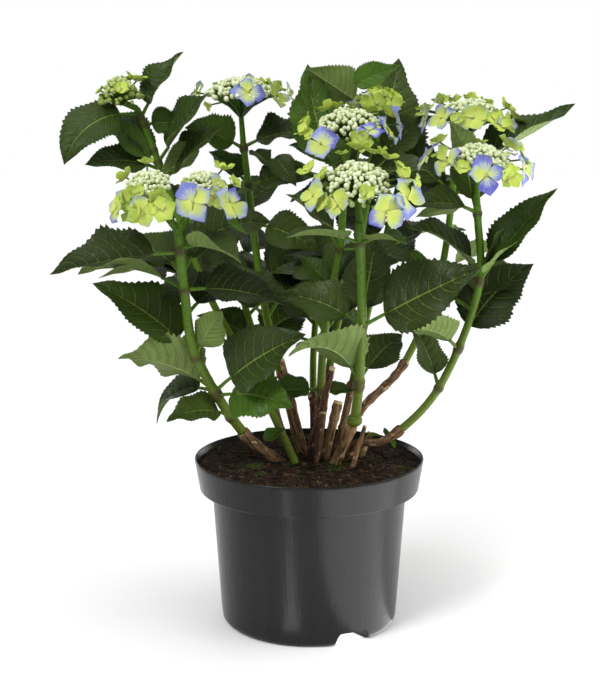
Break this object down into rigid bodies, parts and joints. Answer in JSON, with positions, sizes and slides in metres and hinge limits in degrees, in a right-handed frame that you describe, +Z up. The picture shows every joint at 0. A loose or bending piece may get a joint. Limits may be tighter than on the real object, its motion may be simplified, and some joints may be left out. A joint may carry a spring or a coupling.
{
  "type": "lacecap hydrangea in nursery pot",
  "caption": "Young lacecap hydrangea: woody canes, leafy green shoots and flat heads of flower beads ringed with blue and lime florets, in a round plastic nursery pot.",
  "frame": {"origin": "centre of the pot's flat underside", "axes": "+Z up along the pot's axis, -Y towards the front of the plant, +X to its right as seen from the front"},
  "size_m": [0.5162, 0.3515, 0.5685],
  "materials": {
    "pot_plastic": "dark grey injection-moulded plastic, half gloss",
    "compost": "moist dark peat compost with fibres and moss",
    "old_wood": "flaky brown bark of last year's canes",
    "foliage": "broad toothed leaves, dark green above and paler beneath, on green speckled stems",
    "blossom": "cream-green flower beads and blue to lime sepals"
  },
  "bodies": {
    "root": {"pot": "pot_plastic", "compost": "compost", "cane_left_front": "old_wood", "cane_left_back": "old_wood", "cane_mid_left": "old_wood", "cane_centre_front": "old_wood", "cane_centre_mid": "old_wood", "cane_centre_back": "old_wood", "cane_right_front": "old_wood", "cane_right_back": "old_wood", "cane_back_right": "old_wood", "cane_back_left": "old_wood", "cane_back_centre": "old_wood", "stub_tall": "old_wood", "stub_short": "old_wood", "stub_dark": "old_wood", "stub_low": "old_wood", "stub_right": "old_wood", "stub_left": "old_wood", "head_left_small": "blossom", "head_left_front_a": "blossom", "head_left_front_b": "blossom", "head_mid_left": "blossom", "head_centre_mid": "blossom", "head_centre_back": "blossom", "head_centre_front": "blossom", "head_right_back": "blossom", "head_back_centre": "blossom", "head_right_front": "blossom", "shoot_left_front": "foliage", "shoot_left_back": "foliage", "shoot_mid_left": "foliage", "shoot_centre_front": "foliage", "shoot_centre_mid": "foliage", "shoot_centre_back": "foliage", "shoot_right_front": "foliage", "shoot_right_back": "foliage", "shoot_back_right": "foliage", "shoot_back_left": "foliage", "shoot_back_centre": "foliage"}
  },
  "joints": []
}
